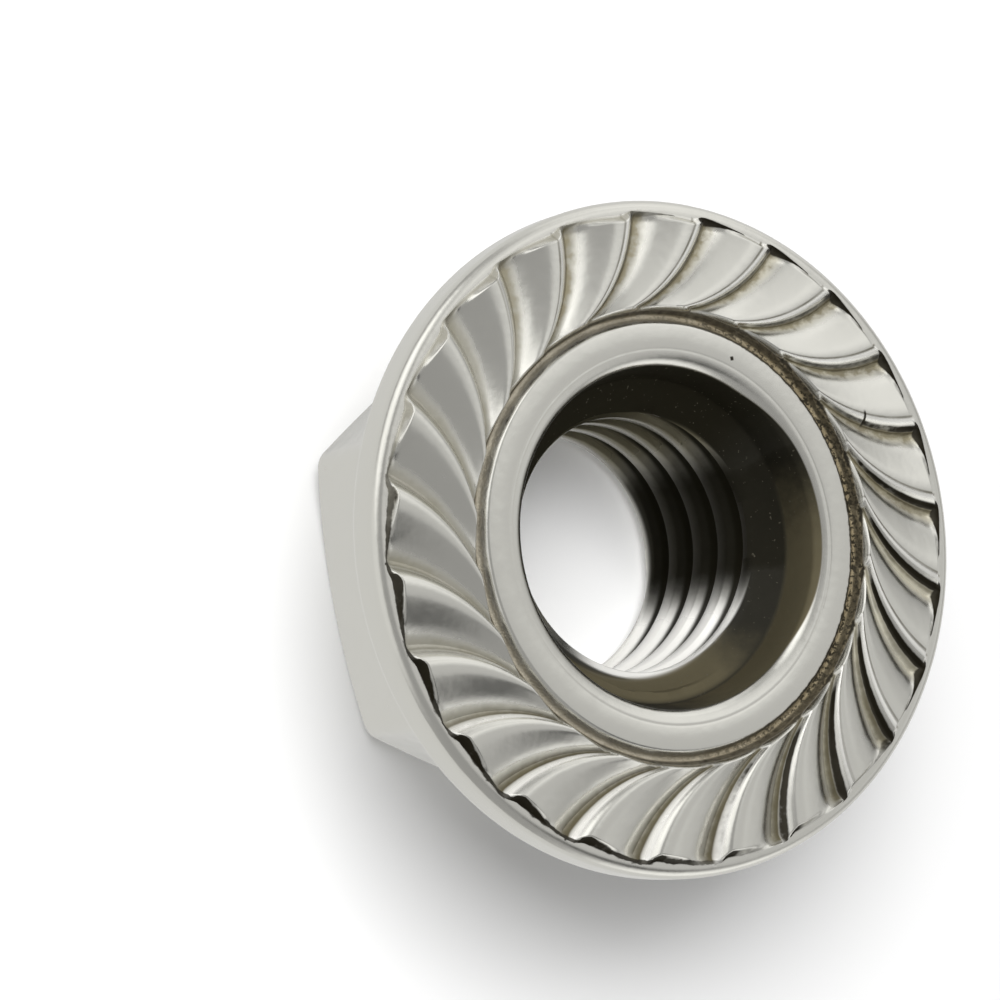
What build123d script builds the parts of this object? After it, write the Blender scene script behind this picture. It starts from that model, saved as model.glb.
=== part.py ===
from build123d import *

import math
import os

# Hexagon nut with a serrated flange, for an M8 coarse thread.
#
# The nut is one cold-formed piece. It stands on its plain hexagon end at z = 0, with
# +Z along the thread axis towards the serrated bearing face. Lengths are millimetres.

# Wrenching hexagon
across_flats = 13.0
corner_radius = 0.5
end_circle_diameter = 12.4
end_chamfer_angle = 30.0

# Flange
nut_height = 7.65
flange_diameter = 17.9
flange_edge_height = 1.2
flange_slope = 27.0
rim_width = 0.32
rim_drop = 0.25
rim_inner_radius = 0.3
rim_outer_radius = 0.4
root_radius = 0.4

# Thread hole, open at both ends: the plain bore stands for the thread's minor diameter
minor_diameter = 6.9
end_countersink_diameter = 8.4
countersink_angle = 30.0
relief_diameter = 8.7
relief_depth = 1.2

# Bearing face inside the serrations, from the hole outwards
mouth_step = 0.2
mouth_chamfer_width = 0.4
mouth_chamfer_drop = 0.2
annulus_drop = 0.25
annulus_width = 0.7
groove_width = 0.4
groove_depth = 0.25
tooth_wall_lean = 0.05

# Serrations: curved ratchet teeth. Behind each crest a narrow land, then a slope down to
# the foot of the next crest's steep flank; both are shares of the pitch.
tooth_count = 24
tooth_depth_outer = 0.45
tooth_depth_inner = 0.2
tooth_end_chamfer = 0.1
land_share = 0.25
flank_share = 0.11
crest_arc_radius = 4.5
crest_arc_inset = 0.12
first_crest_angle = 12.8

# The gash between two crests is lofted through this many sections, and its ends lie a
# little beyond the teeth. Cutting tools reach further past the faces that they cut.
gash_sections = 3
gash_inner_reach = 0.08
gash_outer_reach = 0.35
overshoot = 1.0

flange_radius = flange_diameter / 2
minor_radius = minor_diameter / 2
relief_radius = relief_diameter / 2
mouth_radius = relief_radius + mouth_step
mouth_chamfer_radius = mouth_radius + mouth_chamfer_width
annulus_radius = mouth_chamfer_radius + annulus_width
groove_radius = annulus_radius + groove_width
teeth_inner_radius = groove_radius + tooth_wall_lean
teeth_outer_radius = flange_radius - rim_width

rim_z = nut_height - rim_drop
flange_edge_z = rim_z - flange_edge_height
annulus_z = nut_height - annulus_drop


# A gash is the space between two crests. The crest lines are arcs that run in, almost
# tangent, to a circle just inside the teeth, and the gash is lofted along them.
arc_centre_radius = teeth_inner_radius - crest_arc_inset + crest_arc_radius
pitch_angle = 360 / tooth_count


def arc_turn(radius):
    """Angle in degrees, about the crest arc's centre, from its innermost point out to this radius."""
    reach = arc_centre_radius**2 + crest_arc_radius**2 - radius**2
    return math.degrees(math.acos(reach / (2 * arc_centre_radius * crest_arc_radius)))


def arc_point(turn, arc_radius):
    """Point on an arc about the crest arc's centre, which lies on the X axis."""
    along = math.radians(turn)
    return Vector(arc_centre_radius - arc_radius * math.cos(along), -arc_radius * math.sin(along))


def tooth_depth(radius):
    """Depth of the valley below the crests at this radius."""
    share = (radius - teeth_inner_radius) / (teeth_outer_radius - teeth_inner_radius)
    return tooth_depth_inner + share * (tooth_depth_outer - tooth_depth_inner)


first_turn = arc_turn(teeth_inner_radius - gash_inner_reach)
last_turn = arc_turn(teeth_outer_radius + gash_outer_reach)
crest_end = arc_point(arc_turn(teeth_outer_radius), crest_arc_radius)
crest_end_angle = math.degrees(math.atan2(crest_end.Y, crest_end.X))

with BuildPart() as gash:
    for index in range(gash_sections):
        turn = first_turn + (last_turn - first_turn) * index / (gash_sections - 1)
        crest = arc_point(turn, crest_arc_radius)
        chord = crest.rotate(Axis.Z, pitch_angle) - crest
        land_width = chord.length * land_share
        depth = tooth_depth(crest.length)
        section_plane = Plane(
            origin=crest + Vector(0, 0, nut_height),
            x_dir=chord,
            z_dir=chord.cross(Vector(0, 0, 1)),
        )
        with BuildSketch(section_plane):
            with BuildLine():
                Polyline(
                    (land_width, 0),
                    (chord.length * (1 - flank_share), -depth),
                    (chord.length, 0),
                    (chord.length, overshoot),
                    (land_width, overshoot),
                    close=True,
                )
            make_face()
    loft()
    Cylinder(
        radius=teeth_outer_radius,
        height=2 * (nut_height + overshoot),
        mode=Mode.INTERSECT,
    )

# The hexagon is a prism with rounded corners, chamfered to a circle at its end. The
# flange, a cone with a rounded rim, carries the plain ring that the teeth are cut into.
end_circle_radius = end_circle_diameter / 2
chamfer_reach = across_flats - end_circle_radius
chamfer_rise = chamfer_reach * math.tan(math.radians(end_chamfer_angle))
flange_root_z = flange_edge_z - flange_radius * math.tan(math.radians(flange_slope))

# The thread hole is countersunk at the hexagon end and relieved at the bearing face.
end_countersink_radius = end_countersink_diameter / 2
countersink_rise = math.tan(math.radians(countersink_angle))
countersink_z = (end_countersink_radius - minor_radius) * countersink_rise
relief_z = annulus_z - relief_depth
thread_end_z = relief_z - (relief_radius - minor_radius) * countersink_rise

with BuildPart() as flange_nut:
    with BuildSketch() as hexagon:
        RegularPolygon(radius=across_flats / 2, side_count=6, major_radius=False, rotation=30)
        fillet(hexagon.vertices(), radius=corner_radius)
    extrude(amount=flange_edge_z)
    with BuildSketch(Plane.XZ):
        with BuildLine():
            Polyline(
                (0, 0),
                (end_circle_radius, 0),
                (end_circle_radius + chamfer_reach, chamfer_rise),
                (end_circle_radius + chamfer_reach, nut_height),
                (0, nut_height),
                close=True,
            )
        make_face()
    revolve(axis=Axis.Z, mode=Mode.INTERSECT)

    with BuildSketch(Plane.XZ) as flange:
        with BuildLine():
            Polyline(
                (0, flange_root_z),
                (flange_radius, flange_edge_z),
                (flange_radius, rim_z),
                (teeth_outer_radius, rim_z),
                (teeth_outer_radius, nut_height),
                (0, nut_height),
                close=True,
            )
        make_face()
        outer_corners = flange.vertices().group_by(Axis.X)[-1].sort_by(Axis.Y)
        fillet(outer_corners[0], radius=rim_outer_radius)
        fillet(outer_corners[1], radius=rim_inner_radius)
        tooth_end = flange.vertices().group_by(Axis.Y)[-1].sort_by(Axis.X)[-1]
        chamfer(tooth_end, length=tooth_end_chamfer)
    revolve(axis=Axis.Z)
    flange_cone = flange_nut.faces().filter_by(GeomType.CONE).sort_by(SortBy.AREA)[-1]
    root_edges = flange_cone.edges().filter_by(
        lambda edge: edge.geom_type not in (GeomType.CIRCLE, GeomType.LINE)
    )
    fillet(root_edges, radius=root_radius)

    with BuildSketch(Plane.XZ):
        with BuildLine():
            Polyline(
                (0, -overshoot),
                (end_countersink_radius, -overshoot),
                (end_countersink_radius, 0),
                (minor_radius, countersink_z),
                (minor_radius, thread_end_z),
                (relief_radius, relief_z),
                (mouth_radius, annulus_z - mouth_chamfer_drop),
                (mouth_chamfer_radius, annulus_z),
                (annulus_radius, annulus_z),
                (annulus_radius + groove_width / 2, annulus_z - groove_depth),
                (groove_radius, annulus_z),
                (teeth_inner_radius, nut_height),
                (teeth_inner_radius, nut_height + overshoot),
                (0, nut_height + overshoot),
                close=True,
            )
        make_face()
    revolve(axis=Axis.Z, mode=Mode.SUBTRACT)

    with PolarLocations(0, tooth_count, start_angle=first_crest_angle - crest_end_angle):
        add(gash.part, mode=Mode.SUBTRACT)

flange_nut.part.label = "flange_nut"
os.makedirs("parts", exist_ok=True)
export_step(flange_nut.part, "parts/flange_nut.step")
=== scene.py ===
import bmesh
import bpy
import math
from mathutils import Matrix, Vector


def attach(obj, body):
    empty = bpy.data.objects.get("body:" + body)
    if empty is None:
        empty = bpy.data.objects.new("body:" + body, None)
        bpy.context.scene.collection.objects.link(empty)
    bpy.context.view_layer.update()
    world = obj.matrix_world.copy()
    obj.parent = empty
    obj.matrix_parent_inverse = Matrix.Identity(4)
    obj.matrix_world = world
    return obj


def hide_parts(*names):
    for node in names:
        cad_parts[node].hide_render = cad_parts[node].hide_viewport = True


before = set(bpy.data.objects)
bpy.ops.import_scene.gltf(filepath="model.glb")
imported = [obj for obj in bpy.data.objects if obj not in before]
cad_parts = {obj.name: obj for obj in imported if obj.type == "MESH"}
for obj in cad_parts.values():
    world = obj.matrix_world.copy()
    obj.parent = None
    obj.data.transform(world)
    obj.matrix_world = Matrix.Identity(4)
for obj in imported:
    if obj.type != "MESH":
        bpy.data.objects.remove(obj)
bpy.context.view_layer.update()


# ---------------------------------------------------------------------------
# The thread. A coarse M8 thread is cut right-handed through the nut, from the
# countersink at the hexagon end up into the relief under the bearing face, and
# leaves the wall of the hole as bright sharp turns.
# ---------------------------------------------------------------------------

MM = 0.001
TURN = 2 * math.pi

thread_pitch = 1.25 * MM
thread_major_radius = 4.0 * MM
thread_minor_radius = 3.45 * MM
countersink_radius = 4.2 * MM
relief_radius = 4.35 * MM
relief_height = 6.2 * MM
cone_slope = math.tan(math.radians(30))
thread_end_radius = 4.05 * MM
thread_bottom = (countersink_radius - thread_end_radius) * cone_slope
thread_top = relief_height - (relief_radius - thread_end_radius) * cone_slope

tooth_count = 24
tooth_columns = 24
columns = tooth_count * tooth_columns
first_crest = math.radians(12.8)
weld = 0.002 * MM


def new_tree(name, sizes):
    """A Geometry Nodes tree that takes a mesh, these named sizes and a material."""
    tree = bpy.data.node_groups.new(name, "GeometryNodeTree")
    face = tree.interface
    face.new_socket("Geometry", in_out="INPUT", socket_type="NodeSocketGeometry")
    for label, value in sizes.items():
        kind = "NodeSocketInt" if isinstance(value, int) else "NodeSocketFloat"
        face.new_socket(label, in_out="INPUT", socket_type=kind)
    face.new_socket("Material", in_out="INPUT", socket_type="NodeSocketMaterial")
    face.new_socket("Geometry", in_out="OUTPUT", socket_type="NodeSocketGeometry")
    return tree, tree.nodes.new("NodeGroupInput").outputs


def node(tree, kind, links=None, **settings):
    """One node with its settings made and its inputs linked or filled, by input name."""
    made = tree.nodes.new(kind)
    for setting, value in settings.items():
        setattr(made, setting, value)
    for name, value in (links or {}).items():
        socket = made.inputs[name]
        if isinstance(value, bpy.types.NodeSocket):
            tree.links.new(value, socket)
        else:
            socket.default_value = value
    return made


def maths(tree, operation, *values):
    """A Math node on numbers or sockets, and its output."""
    made = node(tree, "ShaderNodeMath", dict(enumerate(values)), operation=operation)
    return made.outputs[0]


def end_tree(tree, geometry, material):
    """Closes a tree: welds its seams, makes real geometry of it and gives it its steel."""
    welded = node(tree, "GeometryNodeMergeByDistance", {"Geometry": geometry, "Distance": weld})
    real = node(tree, "GeometryNodeRealizeInstances", {"Geometry": welded.outputs[0]})
    dressed = node(tree, "GeometryNodeSetMaterial",
                   {"Geometry": real.outputs[0], "Material": material})
    node(tree, "NodeGroupOutput", {0: dressed.outputs[0]})


def round_the_axis(tree, radius, angle, height):
    """A position from a radius, an angle about the thread's axis and a height."""
    across = maths(tree, "MULTIPLY", radius, maths(tree, "COSINE", angle))
    along = maths(tree, "MULTIPLY", radius, maths(tree, "SINE", angle))
    return node(tree, "ShaderNodeCombineXYZ", {0: across, 1: along, 2: height}).outputs[0]


def unrolled_grid(tree, column_count, row_count):
    """A grid with its turn from 0 to 1 and its row number, as two number sockets."""
    grid = node(tree, "GeometryNodeMeshGrid", {"Size X": 1.0, "Size Y": 1.0})
    tree.links.new(maths(tree, "ADD", column_count, 1), grid.inputs["Vertices X"])
    tree.links.new(row_count, grid.inputs["Vertices Y"])
    position = node(tree, "GeometryNodeInputPosition").outputs[0]
    place = node(tree, "ShaderNodeSeparateXYZ", {0: position}).outputs
    turn = maths(tree, "ADD", place[0], 0.5)
    upwards = maths(tree, "ADD", place[1], 0.5)
    last_row = maths(tree, "SUBTRACT", row_count, 1)
    row = maths(tree, "ROUND", maths(tree, "MULTIPLY", upwards, last_row))
    return grid.outputs["Mesh"], turn, row


def run_tree(tree, mesh, sizes, material):
    """Runs a tree on a mesh with these sizes and returns the plain mesh that it makes."""
    carrier = bpy.data.objects.new(tree.name, mesh)
    bpy.context.scene.collection.objects.link(carrier)
    modifier = carrier.modifiers.new(tree.name, "NODES")
    modifier.node_group = tree
    values = dict(sizes, Material=material)
    for socket in tree.interface.items_tree:
        if socket.in_out == "INPUT" and socket.name in values:
            modifier[socket.identifier] = values[socket.name]
    graph = bpy.context.evaluated_depsgraph_get()
    made = bpy.data.meshes.new_from_object(carrier.evaluated_get(graph), depsgraph=graph)
    bpy.data.objects.remove(carrier)
    return made


steel = bpy.data.materials.new("polished_stainless")

# One turn of the thread as shares of the pitch and of its depth, from the middle of the
# root over a flank of 30 degrees to the flat crest and back
half_section = [(0.0, 0.0), (0.045, 0.01), (0.085, 0.07), (0.29, 0.93), (0.335, 0.995)]
thread_section = half_section + [(0.5, 1.0)]
for pitch_share, depth_share in reversed(half_section[1:]):
    thread_section.append((1 - pitch_share, depth_share))
thread_seed = bpy.data.meshes.new("thread_seed")
thread_seed.from_pydata([(0, 0, 0)] * len(thread_section), [], [])
thread_profile = thread_seed.attributes.new("profile", "FLOAT_VECTOR", "POINT")
for index, (pitch_share, depth_share) in enumerate(thread_section):
    thread_profile.data[index].vector = (pitch_share, depth_share, 0)

thread_sizes = {
    "Columns": columns,
    "Rows per turn": len(thread_section),
    "Pitch": thread_pitch,
    "Major radius": thread_major_radius,
    "Minor radius": thread_minor_radius,
    "Bottom": thread_bottom,
    "Top": thread_top,
    "Countersink radius": countersink_radius,
    "Relief radius": relief_radius,
    "Relief height": relief_height,
    "Cone slope": cone_slope,
    "First column": first_crest,
}
tree, size = new_tree("m8_thread", thread_sizes)
threaded_length = maths(tree, "SUBTRACT", size["Top"], size["Bottom"])
climb = maths(tree, "DIVIDE", threaded_length, size["Pitch"])
turn_count = maths(tree, "ADD", maths(tree, "CEIL", climb), 1)
row_count = maths(tree, "ADD", maths(tree, "MULTIPLY", turn_count, size["Rows per turn"]), 1)
grid, turn, row = unrolled_grid(tree, size["Columns"], row_count)
turns_up = maths(tree, "DIVIDE", maths(tree, "ADD", row, 0.5), size["Rows per turn"])
whole_turns = maths(tree, "FLOOR", turns_up)
rows_below = maths(tree, "MULTIPLY", whole_turns, size["Rows per turn"])
place_in_turn = maths(tree, "SUBTRACT", row, rows_below)
read = node(tree, "GeometryNodeInputNamedAttribute", {"Name": "profile"}, data_type="FLOAT_VECTOR")
picked = node(tree, "GeometryNodeSampleIndex",
              {"Geometry": size["Geometry"], "Value": read.outputs[0], "Index": place_in_turn},
              data_type="FLOAT_VECTOR")
profile = node(tree, "ShaderNodeSeparateXYZ", {0: picked.outputs[0]}).outputs
rise = maths(tree, "ADD", whole_turns, profile[0])
lift = maths(tree, "SUBTRACT", maths(tree, "ADD", rise, turn), 1)
free_height = maths(tree, "ADD", size["Bottom"], maths(tree, "MULTIPLY", lift, size["Pitch"]))
height = maths(tree, "MINIMUM", maths(tree, "MAXIMUM", free_height, size["Bottom"]), size["Top"])
depth = maths(tree, "SUBTRACT", size["Major radius"], size["Minor radius"])
thread_wall = maths(tree, "SUBTRACT", size["Major radius"],
                    maths(tree, "MULTIPLY", depth, profile[1]))
low_cone = maths(tree, "SUBTRACT", size["Countersink radius"],
                 maths(tree, "DIVIDE", height, size["Cone slope"]))
below_relief = maths(tree, "SUBTRACT", size["Relief height"], height)
high_cone = maths(tree, "SUBTRACT", size["Relief radius"],
                  maths(tree, "DIVIDE", below_relief, size["Cone slope"]))
wall = maths(tree, "MAXIMUM", thread_wall, maths(tree, "MAXIMUM", low_cone, high_cone))
angle = maths(tree, "ADD", maths(tree, "MULTIPLY", turn, TURN), size["First column"])
shaped = node(tree, "GeometryNodeSetPosition",
              {"Geometry": grid, "Position": round_the_axis(tree, wall, angle, height)})
end_tree(tree, shaped.outputs[0], size["Material"])
thread_mesh = run_tree(tree, thread_seed, thread_sizes, steel)


# ---------------------------------------------------------------------------
# The hexagon and the flange. One cold-formed blank: a hexagon with worn corners,
# chamfered to a circle at its end, that flares through a small root radius into
# a conical flange with a rounded edge. One section is swept round the axis.
# ---------------------------------------------------------------------------

across_flats = 13.0 * MM
corner_radius = 0.5 * MM
end_circle_radius = 6.2 * MM
flange_radius = 8.95 * MM
rim_height = 7.4 * MM
flange_edge_height = 6.2 * MM
flange_slope = math.tan(math.radians(27))
rim_inner_radius = 0.3 * MM
rim_outer_radius = 0.4 * MM
root_radius = 0.4 * MM
edge_break = 0.05 * MM
corner_gather = 0.7
corner_turn = math.radians(30)

sweep_sizes = {
    "Columns": columns,
    "Rows": 2,
    "First column": first_crest,
    "Half across flats": across_flats / 2,
    "Corner radius": corner_radius,
    "Gather at corners": corner_gather,
}
tree, size = new_tree("section_sweep", sweep_sizes)
grid, turn, row = unrolled_grid(tree, size["Columns"], size["Rows"])
section_value = {}
for name in ("plain", "per_hexagon"):
    read = node(tree, "GeometryNodeInputNamedAttribute", {"Name": name}, data_type="FLOAT_VECTOR")
    picked = node(tree, "GeometryNodeSampleIndex",
                  {"Geometry": size["Geometry"], "Value": read.outputs[0], "Index": row},
                  data_type="FLOAT_VECTOR")
    section_value[name] = node(tree, "ShaderNodeSeparateXYZ", {0: picked.outputs[0]}).outputs
even_angle = maths(tree, "ADD", maths(tree, "MULTIPLY", turn, TURN), size["First column"])
# Columns gather at the six corners, where the surface turns
past_corner = maths(tree, "SUBTRACT", even_angle, corner_turn)
sixfold = maths(tree, "SINE", maths(tree, "MULTIPLY", past_corner, 6))
gather = maths(tree, "MULTIPLY", section_value["plain"][2],
               maths(tree, "DIVIDE", size["Gather at corners"], 6))
angle = maths(tree, "SUBTRACT", even_angle, maths(tree, "MULTIPLY", gather, sixfold))
from_corner = maths(tree, "PINGPONG", maths(tree, "SUBTRACT", angle, corner_turn), corner_turn)
flat_reach = maths(tree, "DIVIDE", size["Half across flats"],
                   maths(tree, "COSINE", maths(tree, "SUBTRACT", corner_turn, from_corner)))
inner_hexagon = maths(tree, "SUBTRACT", size["Half across flats"], size["Corner radius"])
arc_centre = maths(tree, "DIVIDE", inner_hexagon, math.cos(corner_turn))
arc_side = maths(tree, "MULTIPLY", arc_centre, maths(tree, "SINE", from_corner))
radius_square = maths(tree, "MULTIPLY", size["Corner radius"], size["Corner radius"])
arc_square = maths(tree, "SUBTRACT", radius_square, maths(tree, "MULTIPLY", arc_side, arc_side))
arc_rest = maths(tree, "SQRT", maths(tree, "MAXIMUM", arc_square, 0))
arc_reach = maths(tree, "ADD", arc_rest,
                  maths(tree, "MULTIPLY", arc_centre, maths(tree, "COSINE", from_corner)))
# The arc stands for the corner as far as its two tangent points
tangent_side = maths(tree, "MULTIPLY", size["Corner radius"], math.sin(corner_turn))
tangent_reach = maths(tree, "ADD", arc_centre,
                      maths(tree, "MULTIPLY", size["Corner radius"], math.cos(corner_turn)))
tangent_angle = maths(tree, "ARCTANGENT", maths(tree, "DIVIDE", tangent_side, tangent_reach))
on_arc = maths(tree, "LESS_THAN", from_corner, tangent_angle)
arc_gain = maths(tree, "SUBTRACT", arc_reach, flat_reach)
hexagon = maths(tree, "ADD", flat_reach, maths(tree, "MULTIPLY", on_arc, arc_gain))
radius, height = [
    maths(tree, "ADD", section_value["plain"][index],
          maths(tree, "MULTIPLY", section_value["per_hexagon"][index], hexagon))
    for index in (0, 1)
]
shaped = node(tree, "GeometryNodeSetPosition",
              {"Geometry": grid, "Position": round_the_axis(tree, radius, angle, height)})
end_tree(tree, shaped.outputs[0], size["Material"])
sweep_tree = tree


def swept(section):
    """Sweeps a section round the axis. Each point is a radius, a height, how much of the
    hexagon's reach is added to each of them, and how far the columns gather at its corners."""
    seed = bpy.data.meshes.new("section_seed")
    seed.from_pydata([(0, 0, 0)] * len(section), [], [])
    plain = seed.attributes.new("plain", "FLOAT_VECTOR", "POINT")
    per_hexagon = seed.attributes.new("per_hexagon", "FLOAT_VECTOR", "POINT")
    for index, (radius, height, hexagon_radius, hexagon_height, gather) in enumerate(section):
        plain.data[index].vector = (radius, height, gather)
        per_hexagon.data[index].vector = (hexagon_radius, hexagon_height, 0)
    return run_tree(sweep_tree, seed, dict(sweep_sizes, Rows=len(section)), steel)


def round_point(radius, height):
    """A section point on a surface of revolution."""
    return (radius, height, 0, 0, 0)


def arc_points(centre_radius, centre_height, arc_radius, start, stop, steps):
    """Section points on an arc, between two angles in degrees."""
    points = []
    for step in range(steps + 1):
        along = math.radians(start + (stop - start) * step / steps)
        radius = centre_radius + arc_radius * math.cos(along)
        points.append((radius, centre_height + arc_radius * math.sin(along)))
    return points


slope_angle = math.degrees(math.atan(flange_slope))
slope_cos = math.cos(math.atan(flange_slope))
slope_sin = math.sin(math.atan(flange_slope))
cone_apex = flange_edge_height - flange_radius * flange_slope

body_section = []
# Over the rim, down the edge and round its lower corner
upper_arc = arc_points(flange_radius - rim_inner_radius, rim_height - rim_inner_radius,
                       rim_inner_radius, 90, 0, 7)
lower_tangent = rim_outer_radius * math.tan(math.radians(90 - slope_angle) / 2)
lower_arc = arc_points(flange_radius - rim_outer_radius, flange_edge_height + lower_tangent,
                       rim_outer_radius, 0, slope_angle - 90, 7)
for point in upper_arc + lower_arc:
    body_section.append(round_point(*point))
# Up the cone, to the root radius against the hexagon
cone_start = lower_arc[-1][0]
root_reach = root_radius * (1 - slope_sin)
for share in (0.25, 0.5, 0.75, 1.0):
    plain_radius = (1 - share) * cone_start + share * root_reach
    plain_height = cone_apex + flange_slope * plain_radius
    body_section.append((plain_radius, plain_height, share, share * flange_slope, share))
root_drop = cone_apex + flange_slope * root_radius - root_radius / slope_cos
for point in arc_points(root_radius, root_drop, root_radius, 90 + slope_angle, 180, 5)[1:]:
    body_section.append((point[0], point[1], 1, flange_slope, 1))
# Down the flats, over the end chamfer and in across the plain end
chamfer_drop = end_circle_radius * cone_slope
body_section.append((0, edge_break - chamfer_drop, 1, cone_slope, 1))
body_section.append((-0.2 * edge_break, 0.2 * edge_break - chamfer_drop, 1, cone_slope, 1))
body_section.append((-edge_break, -edge_break * cone_slope - chamfer_drop, 1, cone_slope, 1))
body_section.append((0.5 * end_circle_radius, -0.5 * chamfer_drop, 0.5, 0.5 * cone_slope, 1))
for reach, height in ((1, edge_break * cone_slope), (0.25, 0.1 * edge_break), (-1, 0)):
    body_section.append((end_circle_radius + reach * edge_break, height, 0, 0, 1))
for reach, gather in ((5.8, 0.7), (5.3, 0.3), (4.8, 0), (4.3, 0)):
    body_section.append((reach * MM, 0, 0, 0, gather))
for reach, height in ((1, 0), (0.2, 0.12 * edge_break), (-0.8, 0.8 * edge_break * cone_slope)):
    body_section.append(round_point(countersink_radius + reach * edge_break, height))
body_section.append(round_point(thread_end_radius, thread_bottom))
body_mesh = swept(body_section)


# ---------------------------------------------------------------------------
# The plain ring inside the serrations. It is turned and coined flat: a relief
# above the thread, a bright chamfer at the mouth of the hole, a flat ring, and a
# narrow groove at the foot of the teeth where polishing dirt stays behind.
# ---------------------------------------------------------------------------

ring_height = 7.4 * MM
mouth_radius = 4.55 * MM
mouth_chamfer_radius = 4.95 * MM
mouth_chamfer_drop = 0.2 * MM
ring_outer_radius = 5.65 * MM
groove_outer_radius = 6.05 * MM
groove_depth = 0.25 * MM

groove_middle = (ring_outer_radius + groove_outer_radius) / 2
ring_join_radius = groove_middle + 0.02 * MM
mouth_height = ring_height - mouth_chamfer_drop
groove_floor = ring_height - groove_depth
ring_section = [
    (thread_end_radius, thread_top),
    (relief_radius - 0.06 * MM, relief_height - 0.035 * MM),
    (relief_radius - 0.01 * MM, relief_height + 0.01 * MM),
    (relief_radius + 0.012 * MM, relief_height + 0.08 * MM),
    (relief_radius + 0.1 * MM, 6.7 * MM),
    (mouth_radius - 0.02 * MM, mouth_height - 0.07 * MM),
    (mouth_radius, mouth_height - 0.015 * MM),
    (mouth_radius + 0.025 * MM, mouth_height + 0.02 * MM),
    (mouth_radius + 0.07 * MM, mouth_height + 0.065 * MM),
    (mouth_radius + 0.13 * MM, mouth_height + 0.11 * MM),
    (mouth_radius + 0.21 * MM, mouth_height + 0.148 * MM),
    (mouth_chamfer_radius - 0.08 * MM, ring_height - 0.026 * MM),
    (mouth_chamfer_radius - 0.02 * MM, ring_height - 0.012 * MM),
    (mouth_chamfer_radius + 0.01 * MM, ring_height - 0.02 * MM),
    (mouth_chamfer_radius + 0.04 * MM, ring_height - 0.012 * MM),
    (mouth_chamfer_radius + 0.09 * MM, ring_height),
    (5.3 * MM, ring_height),
    (ring_outer_radius - 0.08 * MM, ring_height),
    (ring_outer_radius - 0.03 * MM, ring_height - 0.008 * MM),
    (ring_outer_radius + 0.005 * MM, ring_height - 0.03 * MM),
    (ring_outer_radius + 0.05 * MM, ring_height - 0.09 * MM),
    (groove_middle - 0.09 * MM, groove_floor + 0.06 * MM),
    (groove_middle - 0.04 * MM, groove_floor + 0.014 * MM),
    (ring_join_radius, groove_floor),
]
ring_mesh = swept([round_point(*point) for point in ring_section])


# ---------------------------------------------------------------------------
# The serrations. Twenty-four ratchet teeth are coined into the bearing face.
# Each falls slowly to the foot of the next steep flank, its crest curving in to
# the groove, and it stands above the rim at its crest and dips below it behind.
# ---------------------------------------------------------------------------

nut_height = 7.65 * MM
teeth_inner_radius = 6.1 * MM
teeth_outer_radius = 8.63 * MM
tooth_depth_inner = 0.2 * MM
tooth_depth_outer = 0.45 * MM
crest_arc_radius = 4.5 * MM
crest_arc_inset = 0.12 * MM
land_middle = 0.09
land_reach = 0.25
land_bow = 2.5
scoop_power = 1.06
flank_foot = 0.87
flank_top = 0.995
crest_rounding = 0.6
land_rounding = 0.08
valley_rounding = 0.08
end_wall_width = 0.16 * MM
pocket_wall_width = 0.28 * MM
end_inset = 0.16 * MM
inset_lead = 0.06
inset_share = 0.14
stretch_radius = 7.6 * MM
rim_start_radius = flange_radius - rim_inner_radius

# Where residue lies on a tooth and where shade and highlights are painted on it, in shares of its
# pitch across it and in metres along it
foot_spread = 0.25
foot_spread_on_flank = 0.05
crest_share = 0.02
crest_line_share = 0.07
crest_spread = 0.045
rim_line_inset = 0.03 * MM
rim_spread = 0.11 * MM
end_shade_least = 0.06 * MM
end_shade_more = 0.1 * MM
wedge_shade_most = 0.19 * MM
shade_beyond = 0.03 * MM

arc_centre_radius = teeth_inner_radius - crest_arc_inset + crest_arc_radius
pitch_angle = TURN / tooth_count
column_angle = pitch_angle / tooth_columns


def arc_angle(radius):
    """Angle about the axis between the crest arc's centre and its point at this radius."""
    reach = radius**2 + arc_centre_radius**2 - crest_arc_radius**2
    return math.acos(reach / (2 * radius * arc_centre_radius))


outer_arc_angle = arc_angle(teeth_outer_radius)
whole_lag = outer_arc_angle - arc_angle(teeth_inner_radius)
# The lag from rim to groove is a whole number of columns, so that the rings meet
lag_fit = round(whole_lag / column_angle) * column_angle / whole_lag


def crest_lag(radius):
    """How far the crest line has turned at this radius, from its outer end."""
    held = min(max(radius, teeth_inner_radius), teeth_outer_radius)
    return (outer_arc_angle - arc_angle(held)) * lag_fit


def soft_least(first, second, softness):
    """The smaller of two numbers, with a rounded change from one to the other."""
    overlap = max(softness - abs(first - second), 0) / softness
    return min(first, second) - overlap**2 * softness / 4


def smooth(value, low, high):
    """A number from 0 at low to 1 at high, level at both ends."""
    held = min(max((value - low) / (high - low), 0), 1)
    return held * held * (3 - 2 * held)


def tooth_back(share):
    """The tooth behind its crest: a slightly bowed land, then a scoop down to the valley."""
    land = 1 - land_bow * (share - land_middle) ** 2
    land_end = 1 - land_bow * (land_reach - land_middle) ** 2
    scoop_length = flank_foot - land_reach
    down = min(max((share - land_reach) / scoop_length, 0), 1)
    scoop = land_end * (1 - down) ** scoop_power
    if share < land_reach:
        scoop = land_end + scoop_power * land_end * (land_reach - share) / scoop_length
    return soft_least(land, scoop, land_rounding)


def tooth_rise(share):
    """Height of the tooth's section across one pitch, from 0 in the valley to 1 on the land."""
    if share < 0.5:
        flank = (share + 1 - flank_foot) / (flank_top - flank_foot)
        return soft_least(tooth_back(share), flank, crest_rounding)
    flank = (share - flank_foot) / (flank_top - flank_foot)
    crest = soft_least(flank, tooth_back(share - 1), crest_rounding)
    return -soft_least(-tooth_back(share), -crest, valley_rounding)


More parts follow.
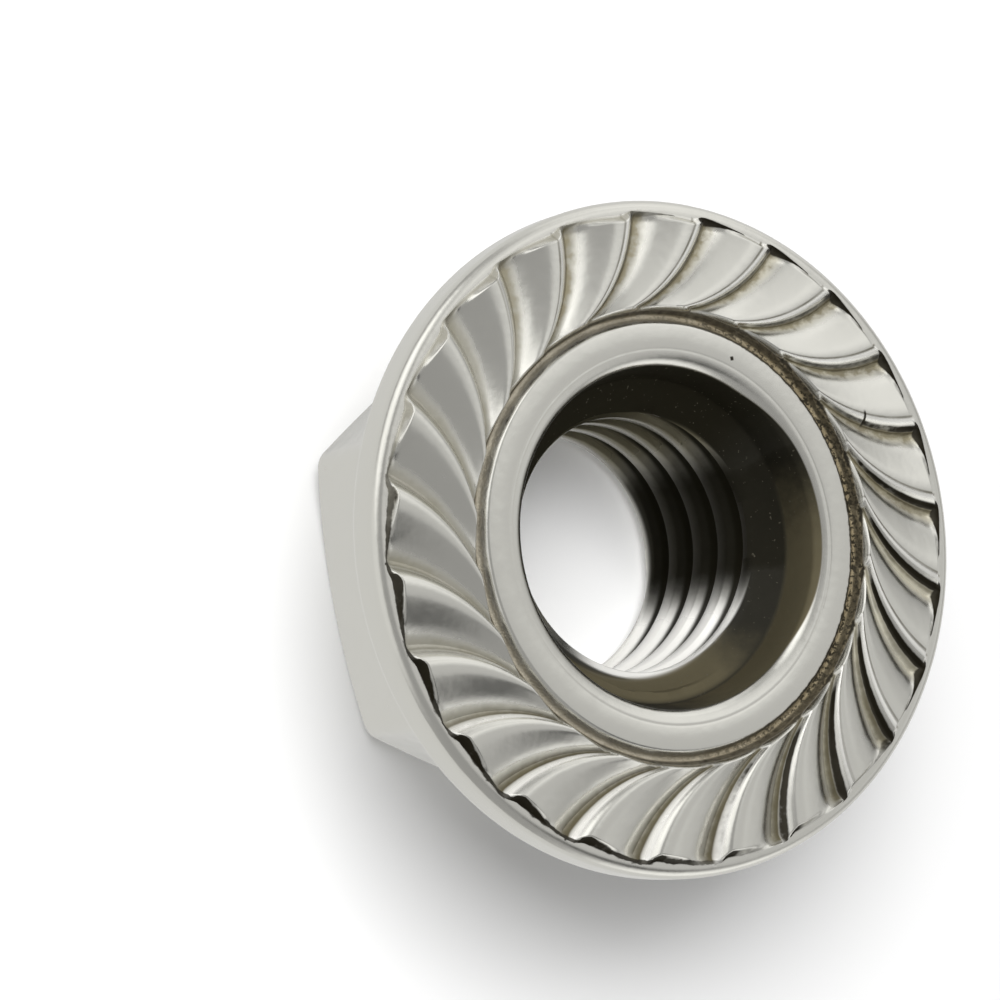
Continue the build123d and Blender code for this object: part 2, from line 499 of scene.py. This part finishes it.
# Columns of the mesh across a tooth, close together where its section bends
tooth_shares = [
    0.0, 0.03, 0.07, 0.12, 0.17, 0.21, 0.24, 0.26, 0.29, 0.33, 0.39, 0.46,
    0.54, 0.62, 0.69, 0.76, 0.81, 0.845, 0.87, 0.89, 0.915, 0.94, 0.96, 0.98,
]
top_of_rise = max(tooth_rise(share) for share in tooth_shares)

# Rows of the mesh along it in millimetres, close together at its two ends
tooth_radii = [
    5.87, 5.92, 5.96, 5.995, 6.025, 6.05, 6.075, 6.1, 6.13, 6.17, 6.23, 6.31, 6.41, 6.55, 6.72,
    6.92, 7.14, 7.37, 7.6, 7.8, 7.97, 8.1, 8.2, 8.27, 8.33, 8.38, 8.41, 8.44, 8.465, 8.49,
    8.515, 8.53, 8.54, 8.55, 8.56, 8.57, 8.58, 8.59, 8.6, 8.61, 8.618, 8.624, 8.63, 8.638, 8.65,
]


def pocket_reach(share):
    """Radius at which a tooth ends, this far across it. The end draws in behind the crest
    and comes out again towards the next one."""
    behind_crest = (share + inset_lead) % 1.0
    drawn_in = smooth(behind_crest, 0, inset_share) * (1 - behind_crest)
    return teeth_outer_radius - end_inset * drawn_in


def tooth_height(radius, share, reach):
    """Height of the toothed face at this radius, this far across a tooth."""
    outwards = (radius - teeth_inner_radius) / (teeth_outer_radius - teeth_inner_radius)
    depth = tooth_depth_inner + min(max(outwards, 0), 1) * (tooth_depth_outer - tooth_depth_inner)
    height = nut_height - depth * (1 - tooth_rise(share) / top_of_rise)
    if height > rim_height:
        over = min(max((radius - reach + end_wall_width) / end_wall_width, 0), 1)
        kept = 1 - 0.5 * over - 0.5 * smooth(over, 0, 1)
    else:
        over = min(max((radius - reach + pocket_wall_width) / pocket_wall_width, 0), 1)
        kept = 1 - over**2
    height = rim_height + (height - rim_height) * kept
    if radius < teeth_inner_radius:
        wall = smooth(radius, ring_join_radius, teeth_inner_radius)
        height = groove_floor + (height - groove_floor) * wall
    return height


def tooth_wall_shade(radius, share, reach):
    """Where shade is painted: on the wall at a tooth's end, on the pocket's end beside the next
    crest, and on the steep flank, which on another side carries a painted highlight."""
    behind = max(reach - radius, 0)
    end_width = end_shade_least + end_shade_more * (1 - smooth(share, 0.3, 0.6))
    at_end = (1 - smooth(behind, 0.6 * end_width, end_width)) * (1 - smooth(share, 0.45, 0.8))
    at_end *= 1 - 0.6 * smooth(share, 0.07, 0.22)
    wedge_width = wedge_shade_most * smooth(share, 0.3, 0.93)
    in_wedge = 1 - smooth(behind, 0.5 * wedge_width, wedge_width) if wedge_width > 0 else 0
    on_flank = smooth(share, flank_foot + 0.005, flank_foot + 0.025)
    on_flank *= 1 - smooth(share, 0.945, 0.97)
    on_flank *= smooth(radius, 6.05 * MM, 6.4 * MM)
    kept = 1 - smooth(radius, reach, reach + shade_beyond)
    return at_end * kept, in_wedge * kept, on_flank * kept


def nearness(value, place, spread):
    """1 at a place, falling evenly to 0 this far from it."""
    return max(1 - abs(value - place) / spread, 0)


def tooth_bands(radius, share, reach):
    """How near a point lies to the flank's foot, the dark line behind the crest, the crest
    itself and the line where the teeth end."""
    foot = nearness(share, flank_foot, foot_spread if share < flank_foot else foot_spread_on_flank)
    line = nearness(share, crest_line_share, crest_spread)
    crest = max(nearness(share, crest_share, crest_spread),
                nearness(share, 1 + crest_share, crest_spread))
    rim = nearness(radius, reach - rim_line_inset, rim_spread)
    return {"foot": foot, "line": line, "crest": crest, "rim": rim}


tooth = bpy.data.meshes.new("tooth_seed")
tooth_points = []
wall_shade_values = []
band_values = {"foot": [], "line": [], "crest": [], "rim": []}
for radius_mm in tooth_radii:
    even_radius = radius_mm * MM
    # Inside and outside the teeth the columns are even, so that they meet the plain rings
    gathered = smooth(even_radius, ring_join_radius, 6.0 * MM)
    gathered *= 1 - smooth(even_radius, teeth_outer_radius, rim_start_radius)
    for column in range(tooth_columns + 1):
        even = column / tooth_columns
        uneven = tooth_shares[column] if column < tooth_columns else 1.0
        share = even + (uneven - even) * gathered
        across = uneven % 1.0
        reach = pocket_reach(across)
        if even_radius > teeth_outer_radius:
            rest = (rim_start_radius - even_radius) / (rim_start_radius - teeth_outer_radius)
            radius = rim_start_radius - rest * (rim_start_radius - reach)
        elif even_radius > stretch_radius:
            along = (even_radius - stretch_radius) / (teeth_outer_radius - stretch_radius)
            radius = stretch_radius + along * (reach - stretch_radius)
        else:
            radius = even_radius
        angle = first_crest + crest_lag(radius) + share * pitch_angle
        height = tooth_height(radius, across, reach)
        tooth_points.append((radius * math.cos(angle), radius * math.sin(angle), height))
        wall_shade_values.extend(tooth_wall_shade(radius, across, reach))
        for name, value in tooth_bands(radius, across, reach).items():
            band_values[name].append(value)
row_length = tooth_columns + 1
tooth_faces = []
for row in range(len(tooth_radii) - 1):
    for column in range(tooth_columns):
        corner = row * row_length + column
        tooth_faces.append((corner, corner + row_length, corner + row_length + 1, corner + 1))
tooth.from_pydata(tooth_points, [], tooth_faces)
# Where shade is painted on the walls of each tooth
wall_shade_attribute = tooth.attributes.new("wall_shade", "FLOAT_VECTOR", "POINT")
wall_shade_attribute.data.foreach_set("vector", wall_shade_values)
for name, values in band_values.items():
    tooth.attributes.new(name, "FLOAT", "POINT").data.foreach_set("value", values)

serration_sizes = {"Teeth": tooth_count}
tree, size = new_tree("serrations", serration_sizes)
places = node(tree, "GeometryNodeMeshLine", {"Count": size["Teeth"], "Offset": (0, 0, 0)})
step_angle = maths(tree, "DIVIDE", TURN, size["Teeth"])
turned = maths(tree, "MULTIPLY", node(tree, "GeometryNodeInputIndex").outputs[0], step_angle)
turning = node(tree, "ShaderNodeCombineXYZ", {2: turned}).outputs[0]
teeth = node(tree, "GeometryNodeInstanceOnPoints",
             {"Points": places.outputs[0], "Instance": size["Geometry"], "Rotation": turning})
loose = node(tree, "GeometryNodeRealizeInstances", {"Geometry": teeth.outputs[0]})
end_tree(tree, loose.outputs[0], size["Material"])
serration_mesh = run_tree(tree, tooth, serration_sizes, steel)


# ---------------------------------------------------------------------------
# The nut in one piece. Thread, blank, ring and serrations are one closed skin of
# stainless steel, barrel polished after forming. Brown residue of the polishing
# stays in the groove and at the foot of the teeth, out of reach of the media.
# Shade is painted on the walls of the teeth and in the hole, and highlights on
# the crests, the flanks and the turns of the thread.
# ---------------------------------------------------------------------------

sharp_angle = math.radians(50)

skin = bmesh.new()
for part_mesh in (thread_mesh, body_mesh, ring_mesh, serration_mesh):
    skin.from_mesh(part_mesh)
bmesh.ops.remove_doubles(skin, verts=skin.verts, dist=weld)
bmesh.ops.dissolve_degenerate(skin, edges=skin.edges, dist=weld)
bmesh.ops.recalc_face_normals(skin, faces=skin.faces)
nut_mesh = bpy.data.meshes.new("serrated_nut")
skin.to_mesh(nut_mesh)
skin.free()
nut_mesh.materials.clear()
nut_mesh.materials.append(steel)
nut_mesh.shade_smooth()
nut_mesh.set_sharp_from_angle(angle=sharp_angle)
nut = bpy.data.objects.new("serrated_nut", nut_mesh)
bpy.context.scene.collection.objects.link(nut)

# Colours of the steel, of what lies on it, and of the painted shade and highlights
steel_colour = (0.73, 0.72, 0.665, 1)
# Painted highlight on the crests, the flanks and the turns of the thread
highlight_colour = (0.9, 0.89, 0.85, 1)
# Residue, and the painted grey shade on the tips of the teeth
residue_and_shade_colour = (0.25, 0.235, 0.18, 1)
tan_colour = (0.56, 0.53, 0.42, 1)
# Dark lines: residue and painted shade at the feet of the flanks, and painted dark reflection
# behind the crests
dark_line_colour = (0.10, 0.085, 0.045, 1)
# Near black: marks and crust, and painted shade on the walls of the teeth
grime_and_shade_colour = (0.03, 0.026, 0.017, 1)
crust_colour = (0.4, 0.33, 0.2, 1)
# Near black: painted shade in the hole
bore_shade_colour = (0.03, 0.027, 0.017, 1)
tarnish_colour = (0.17, 0.155, 0.1, 1)
film_colour = (0.25, 0.22, 0.14, 1)

steel.use_nodes = True
steel_tree = steel.node_tree
steel_tree.nodes.clear()

coordinates = steel_tree.nodes.new("ShaderNodeTexCoord").outputs["Object"]
in_mm = node(steel_tree, "ShaderNodeVectorMath", {0: coordinates, "Scale": 1 / MM},
             operation="SCALE")
place_mm = in_mm.outputs[0]
x, y, z = node(steel_tree, "ShaderNodeSeparateXYZ", {0: place_mm}).outputs


def product(*values):
    """All of these numbers or sockets multiplied together."""
    result = values[0]
    for value in values[1:]:
        result = maths(steel_tree, "MULTIPLY", result, value)
    return result


def strongest(*masks):
    """The greatest of these masks, place by place."""
    result = masks[0]
    for mask in masks[1:]:
        result = maths(steel_tree, "MAXIMUM", result, mask)
    return result


def less(value, taken):
    """One number or socket less another."""
    return maths(steel_tree, "SUBTRACT", value, taken)


def scaled(value, share, base):
    """A mask made to run from a base level up to that level and this share."""
    return maths(steel_tree, "ADD", product(value, share), base)


def fade(value, low, high):
    """0 below low and 1 above high with a soft change between them; low may be the greater."""
    made = node(steel_tree, "ShaderNodeMapRange",
                {"Value": value, "From Min": low, "From Max": high},
                interpolation_type="SMOOTHSTEP")
    return made.outputs["Result"]


def band(value, start, full, fading, end):
    """1 between full and fading, and 0 below start and above end."""
    return product(fade(value, start, full), fade(value, end, fading))


def grain(scale, detail):
    """Noise in millimetres on the nut's own coordinates."""
    made = node(steel_tree, "ShaderNodeTexNoise",
                {"Vector": place_mm, "Scale": scale, "Detail": detail, "Roughness": 0.6})
    return made.outputs["Fac"]


def ragged(value, scale, detail, amount):
    """A value with noise on it, so that an edge cut from it is uneven."""
    noise = product(less(grain(scale, detail), 0.5), amount)
    return maths(steel_tree, "ADD", value, noise)


def stored(name, output="Fac"):
    """What the points of the teeth hold under this name."""
    return node(steel_tree, "ShaderNodeAttribute", attribute_name=name).outputs[output]


def blend(factor, first, second):
    """A colour between two, by a factor."""
    made = node(steel_tree, "ShaderNodeMix", {0: factor, 6: first, 7: second}, data_type="RGBA")
    return made.outputs[2]


radius = maths(steel_tree, "SQRT", maths(steel_tree, "ADD", product(x, x), product(y, y)))


def side(azimuth, outer, inner, unevenness=0.3):
    """1 on the side of the nut at this azimuth, 0 beyond an outer angle to either side of it."""
    across = product(x, math.cos(math.radians(azimuth)))
    along = product(y, math.sin(math.radians(azimuth)))
    facing = maths(steel_tree, "DIVIDE", maths(steel_tree, "ADD", across, along), radius)
    return fade(ragged(facing, 1.5, 4, unevenness),
                math.cos(math.radians(outer)), math.cos(math.radians(inner)))


def mark(at_x, at_y, half_width, half_length):
    """A small dark mark here, seen square on: this wide towards +X, this long towards +Y."""
    off_x = maths(steel_tree, "ABSOLUTE", less(x, at_x))
    off_y = maths(steel_tree, "ABSOLUTE", less(y, at_y))
    inside_x = fade(off_x, half_width, 0.4 * half_width)
    inside_y = fade(off_y, half_length, 0.5 * half_length)
    return product(inside_x, inside_y, fade(z, 7.2, 7.3))


# The places on the teeth that the mesh holds. All radii and heights below are in
# millimetres, and all sides of the nut in degrees.
foot = stored("foot")
rim = stored("rim")
# Where shade is painted on the walls of the teeth, as the mesh holds it
end_place, wedge_place, flank_place = node(
    steel_tree, "ShaderNodeSeparateXYZ", {0: stored("wall_shade", "Vector")}).outputs
on_teeth = band(radius, 6.0, 6.12, 8.52, 8.62)

# Brown residue along the foot of the steep flanks: a soft tint, stains on one side of the
# nut, and a dark line that is partly residue and partly painted shade, stronger on two sides of
# the nut
ragged_foot = ragged(foot, 4, 4, 0.3)
patches = fade(grain(0.9, 3), 0.35, 0.65)
tint = product(fade(ragged_foot, 0.05, 0.7), on_teeth, scaled(patches, 0.25, 0.6))
tint_colour = blend(side(5, 85, 50), residue_and_shade_colour, tan_colour)
stains = product(fade(ragged(foot, 3.5, 5, 1.4), 0.35, 0.85), fade(foot, 0.02, 0.35),
                 side(54, 80, 48), on_teeth, 0.85)
shaded_side = side(-95, 75, 40)
past_start = less(ragged_foot, scaled(shaded_side, -0.4, 0.85))
foot_residue_and_shade = product(fade(past_start, 0.0, scaled(shaded_side, 0.42, 0.12)),
                    scaled(shaded_side, 0.62, 0.3), scaled(side(50, 80, 45), 1.6, 1.0), on_teeth)

# A thin painted dark reflection behind the crests, and painted highlights: the crests are
# painted bright and matt on one side of the nut and the steep flanks on another
crest_shade_line = product(fade(stored("line"), 0.45, 0.95), side(35, 105, 65), on_teeth,
                     scaled(patches, 0.35, 0.4))
crest_highlight = product(fade(stored("crest"), 0.2, 0.75), side(20, 105, 65), on_teeth, 0.6)
painted_sheen = strongest(product(flank_place, side(-112, 62, 35), 0.7), crest_highlight)

# Painted near-black shade and dark reflection on the walls at the ends of the teeth and on the
# steep flanks, a ragged painted black shade line where the teeth end, and a painted grey shade
# on their tips further round
end_wall_shade = product(end_place, scaled(side(230, 80, 42), 0.85, 0.08),
                    scaled(side(208, 50, 25), 0.9, 1.0))
wedge_shade = product(wedge_place, side(15, 85, 45), 0.85)
flank_shade = product(flank_place, scaled(side(-38, 60, 25), 0.7, 0.15),
                      scaled(side(60, 60, 30), 2.2, 1.0))
shaded_walls = product(strongest(end_wall_shade, wedge_shade, flank_shade), scaled(grain(5, 4), 0.9, 0.6))
rim_shade_line = product(fade(ragged(rim, 3, 3, 1.1), 0.25, 0.6), fade(rim, 0.02, 0.25),
                   side(214, 66, 42), 0.95)
wall_shade = strongest(fade(shaded_walls, 0.08, 0.7), rim_shade_line)
tip_shade = product(fade(strongest(end_place, product(rim, 0.7)), 0.1, 0.7),
                    side(132, 62, 38), 0.75)

# Crust in the groove: brown, with a dark line at the foot of the teeth, dark edges, and dark
# crumbs on one side
in_groove = band(z, 6.9, 7.0, 7.4, 7.47)
crusty_side = side(-5, 110, 30)
off_middle = maths(steel_tree, "ABSOLUTE", less(radius, groove_middle / MM))
crust_edge = less(ragged(off_middle, 5, 4, 0.12), scaled(crusty_side, 0.1, 0.14))
crust = product(fade(crust_edge, 0.04, -0.06), in_groove, scaled(crusty_side, 0.35, 0.6))
wall_line = product(band(radius, 5.87, 5.93, 5.97, 6.03), scaled(grain(6, 3), 0.6, 0.5))
dark_edges = product(band(crust_edge, -0.12, -0.06, 0.01, 0.04), scaled(crusty_side, 0.6, 0.4))
dark_crumbs = product(fade(grain(9, 4), 0.46, 0.56), scaled(crusty_side, 0.85, 0.1))
crust_dark = product(strongest(wall_line, dark_crumbs, dark_edges),
                     fade(crust_edge, 0.04, -0.02), in_groove)

# The wall of the hole: painted dark shade over the relief and on one side of the thread, a brown
# film over parts of the relief, tarnish on another side, painted highlights on the turns on a
# third, and painted shade at the roots
crescent = fade(maths(steel_tree, "DIVIDE", x, radius), math.cos(math.radians(52)), 1)
past_edge = less(radius, scaled(crescent, 0.17, 4.56))
in_hole = product(fade(past_edge, 0.03, -0.03), fade(z, 0.35, 0.8))
in_relief = product(in_hole, fade(z, 5.6, 5.72))
film_on_wall = product(in_relief, fade(z, 6.15, 6.3), side(-42, 62, 25))
film_on_cone = product(in_relief, fade(z, 6.25, 6.1), side(-105, 62, 25))
bore_shade_place = strongest(product(in_relief, 0.95), product(side(2, 45, 18, 0.05), 0.98))
bore_shade = product(in_hole, bore_shade_place)
tarnish = product(in_hole, side(120, 110, 70, 0.1))
thread_highlight = product(fade(radius, 4.3, 4.1), band(z, 0.35, 0.8, 5.7, 5.85),
                     side(-80, 66, 38, 0.1))
thread_root_shade = product(in_hole, fade(z, 5.75, 5.65), fade(radius, 3.6, 3.72), 0.9)
specks = product(in_relief, fade(grain(9, 2), 0.68, 0.72), 0.6)

# A nick in one crest and a speck on the plain ring
nick = mark(6.59, 2.22, 0.05, 0.26)
speck = mark(2.8, 4.38, 0.07, 0.07)

colour = steel_colour
for mask, layer_colour in (
    (tint, tint_colour),
    (stains, film_colour),
    (foot_residue_and_shade, dark_line_colour),
    (crest_shade_line, dark_line_colour),
    (painted_sheen, highlight_colour),
    (tip_shade, residue_and_shade_colour),
    (wall_shade, grime_and_shade_colour),
    (strongest(nick, speck), grime_and_shade_colour),
    (crust, crust_colour),
    (crust_dark, grime_and_shade_colour),
    (tarnish, tarnish_colour),
    (thread_highlight, highlight_colour),
    (thread_root_shade, bore_shade_colour),
    (bore_shade, bore_shade_colour),
    (strongest(film_on_wall, film_on_cone), film_colour),
    (specks, residue_and_shade_colour),
):
    colour = blend(mask, colour, layer_colour)

# Residue, crust and painted shade make the steel rougher
dirt_and_shade = strongest(tint, foot_residue_and_shade, wall_shade, crust, product(bore_shade, 0.2), stains)
rough_dark_places = strongest(foot_residue_and_shade, bore_shade, thread_root_shade)
polish = scaled(grain(3, 4), 0.1, 0.2)
roughness = maths(steel_tree, "ADD", polish, strongest(product(dirt_and_shade, 0.3), product(rough_dark_places, 0.5)))

# The painted highlights and the tarnish in the hole are matt, except under the painted shade
matt_in_hole = product(strongest(product(thread_highlight, 0.9), product(tarnish, 0.5)),
                    less(1, strongest(bore_shade, thread_root_shade)))
matt = strongest(product(crust, 0.6), product(tint, 0.9), matt_in_hole, painted_sheen, tip_shade)
metal = less(1, matt)

# Faint waves from the polishing, fine scuffs, and crumbs of crust
waves = product(less(grain(1.6, 2), 0.5), 0.01)
scuffs = product(less(grain(14, 5), 0.5), 0.0012)
crumbs = product(less(grain(16, 3), 0.5), crust, 0.05)
relief = maths(steel_tree, "ADD", waves, maths(steel_tree, "ADD", scuffs, crumbs))
uneven = node(steel_tree, "ShaderNodeBump", {"Strength": 1.0, "Distance": MM, "Height": relief})

shader = node(steel_tree, "ShaderNodeBsdfPrincipled",
              {"Base Color": colour, "Metallic": metal, "Roughness": roughness,
               "Normal": uneven.outputs[0]})
node(steel_tree, "ShaderNodeOutputMaterial", {"Surface": shader.outputs[0]})

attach(nut, "root")
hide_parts("flange_nut")


# ---------------------------------------------------------------------------
# The table. A plain white sheet that the nut stands on, hexagon end down. It
# keeps the nut's shadow, and polished steel mirrors it as an even pale sheet.
# ---------------------------------------------------------------------------

table_size = 2.0
table_white = 0.85
table_glow = 0.1
table_in_steel = 0.78

table_mesh = bpy.data.meshes.new("table")
reach = table_size / 2
table_corners = [(-reach, -reach, 0), (reach, -reach, 0), (reach, reach, 0), (-reach, reach, 0)]
table_mesh.from_pydata(table_corners, [], [(0, 1, 2, 3)])
table = bpy.data.objects.new("table", table_mesh)
bpy.context.scene.collection.objects.link(table)

paper = bpy.data.materials.new("white_sheet")
paper.use_nodes = True
paper_tree = paper.node_tree
paper_tree.nodes.clear()
rays = node(paper_tree, "ShaderNodeLightPath").outputs
sheet = node(paper_tree, "ShaderNodeBsdfDiffuse",
             {"Color": (table_white, table_white, table_white, 1)})
glow = node(paper_tree, "ShaderNodeEmission",
            {"Strength": maths(paper_tree, "MULTIPLY", rays["Is Camera Ray"], table_glow)})
lit_sheet = node(paper_tree, "ShaderNodeAddShader", {0: sheet.outputs[0], 1: glow.outputs[0]})
even_sheet = node(paper_tree, "ShaderNodeEmission", {"Strength": table_in_steel})
mirrored = maths(paper_tree, "MAXIMUM", rays["Is Glossy Ray"], rays["Is Transmission Ray"])
seen = node(paper_tree, "ShaderNodeMixShader",
            {0: mirrored, 1: lit_sheet.outputs[0], 2: even_sheet.outputs[0]})
node(paper_tree, "ShaderNodeOutputMaterial", {"Surface": seen.outputs[0]})
table_mesh.materials.append(paper)


# ---------------------------------------------------------------------------
# Light. The room is an even pale studio, and the steel mirrors soft bright and
# dim areas of it. One soft box, high up beside the nut, throws the soft shadow.
# ---------------------------------------------------------------------------

room_level = 0.39
darkest_level = 0.02
plain_level = 0.22
# Each area of the room: azimuth, elevation, the angles from there at which its edge begins
# and ends, and how much brighter or darker than the room it is
room_areas = [
    (45, 48, 14, 30, 0.43),
    (0, 48, 24, 38, 0.23),
    (-61, 51, 6, 15, -0.33),
    (-17, 24, 8, 22, 0.12),
    (122, 40, 19, 31, 0.84),
    (-66, 6, 9, 34, 0.8),
    (112, 36, 5, 16, 0.4),
    (52, 4, 14, 38, 0.62),
    (175, 20, 20, 40, 0.45),
]


def direction(azimuth, elevation):
    """Unit vector from two angles in degrees, in the nut's own frame."""
    across = math.radians(azimuth)
    up = math.radians(elevation)
    return Vector((math.cos(up) * math.cos(across), math.cos(up) * math.sin(across), math.sin(up)))


world = bpy.data.worlds.new("studio")
bpy.context.scene.world = world
world.use_nodes = True
world_tree = world.node_tree
background = world_tree.nodes["Background"]
way = world_tree.nodes.new("ShaderNodeTexCoord").outputs["Generated"]
level = room_level
for azimuth, elevation, inner, outer, gain in room_areas:
    facing = node(world_tree, "ShaderNodeVectorMath", {0: way, 1: direction(azimuth, elevation)},
                  operation="DOT_PRODUCT").outputs["Value"]
    area = node(world_tree, "ShaderNodeMapRange",
                {"Value": facing, "From Min": math.cos(math.radians(outer)),
                 "From Max": math.cos(math.radians(inner))},
                interpolation_type="SMOOTHSTEP").outputs["Result"]
    level = maths(world_tree, "ADD", maths(world_tree, "MULTIPLY", area, gain), level)
level = maths(world_tree, "MAXIMUM", level, darkest_level)
# White to the camera, the room's areas to polished steel, and an even level to all else
rays = node(world_tree, "ShaderNodeLightPath").outputs
seen = rays["Is Camera Ray"]
mirrored = maths(world_tree, "MAXIMUM", rays["Is Glossy Ray"], rays["Is Transmission Ray"])
others = maths(world_tree, "SUBTRACT", 1, maths(world_tree, "ADD", seen, mirrored))
glow = maths(world_tree, "ADD", seen, maths(world_tree, "MULTIPLY", mirrored, level))
glow = maths(world_tree, "ADD", glow, maths(world_tree, "MULTIPLY", others, plain_level))
world_tree.links.new(glow, background.inputs["Strength"])
background.inputs["Color"].default_value = (1, 1, 1, 1)

lamp_azimuth = 126
lamp_elevation = 62
lamp_distance = 0.3
lamp_side = 0.2
lamp_glow = 8.6
to_lamp = direction(lamp_azimuth, lamp_elevation)
lamp_data = bpy.data.lights.new("shadow_box", "AREA")
lamp_data.shape = "RECTANGLE"
lamp_data.size = lamp_side
lamp_data.size_y = lamp_side
lamp_data.energy = lamp_glow * math.pi * lamp_side**2
lamp = bpy.data.objects.new("shadow_box", lamp_data)
lamp.location = Vector((0, 0, nut_height / 2)) + to_lamp * lamp_distance
lamp.rotation_euler = to_lamp.to_track_quat("Z", "Y").to_euler()
lamp.visible_glossy = False
bpy.context.scene.collection.objects.link(lamp)


# ---------------------------------------------------------------------------
# Camera. It looks down at the bearing face from the side of one flat, with a
# long lens. The plain ring's centre has a fixed place in the picture.
# ---------------------------------------------------------------------------

view_tilt = math.radians(33)
view_roll = math.radians(10.3)
view_distance = 100 * MM
sensor_width = 36
picture_pixels = 1000
pixels_per_mm = 38.1
centre_right_px = 674.5
centre_down_px = 536.2

ring_centre = Vector((0, 0, ring_height))
to_camera = Vector((-math.sin(view_tilt), 0, math.cos(view_tilt)))
far_side = Vector((math.cos(view_tilt), 0, math.sin(view_tilt)))
sideways = Vector((0, 1, 0))
picture_right = math.cos(view_roll) * far_side - math.sin(view_roll) * sideways
picture_up = math.sin(view_roll) * far_side + math.cos(view_roll) * sideways
centre_right = (centre_right_px - picture_pixels / 2) * MM / pixels_per_mm
centre_up = (picture_pixels / 2 - centre_down_px) * MM / pixels_per_mm
camera_place = ring_centre + view_distance * to_camera
aim = ring_centre - picture_right * centre_right - picture_up * centre_up
backwards = (camera_place - aim).normalized()
rightwards = picture_up.cross(backwards).normalized()
turned = Matrix((rightwards, backwards.cross(rightwards), backwards)).transposed()
camera_data = bpy.data.cameras.new("camera")
camera_data.sensor_width = sensor_width
camera_data.lens = sensor_width * pixels_per_mm * (view_distance / MM) / picture_pixels
camera_data.clip_start = 0.001
camera_data.clip_end = 10
camera = bpy.data.objects.new("camera", camera_data)
camera.matrix_world = Matrix.Translation(camera_place) @ turned.to_4x4()
bpy.context.scene.collection.objects.link(camera)
bpy.context.scene.camera = camera
bpy.context.scene.view_settings.view_transform = "Standard"
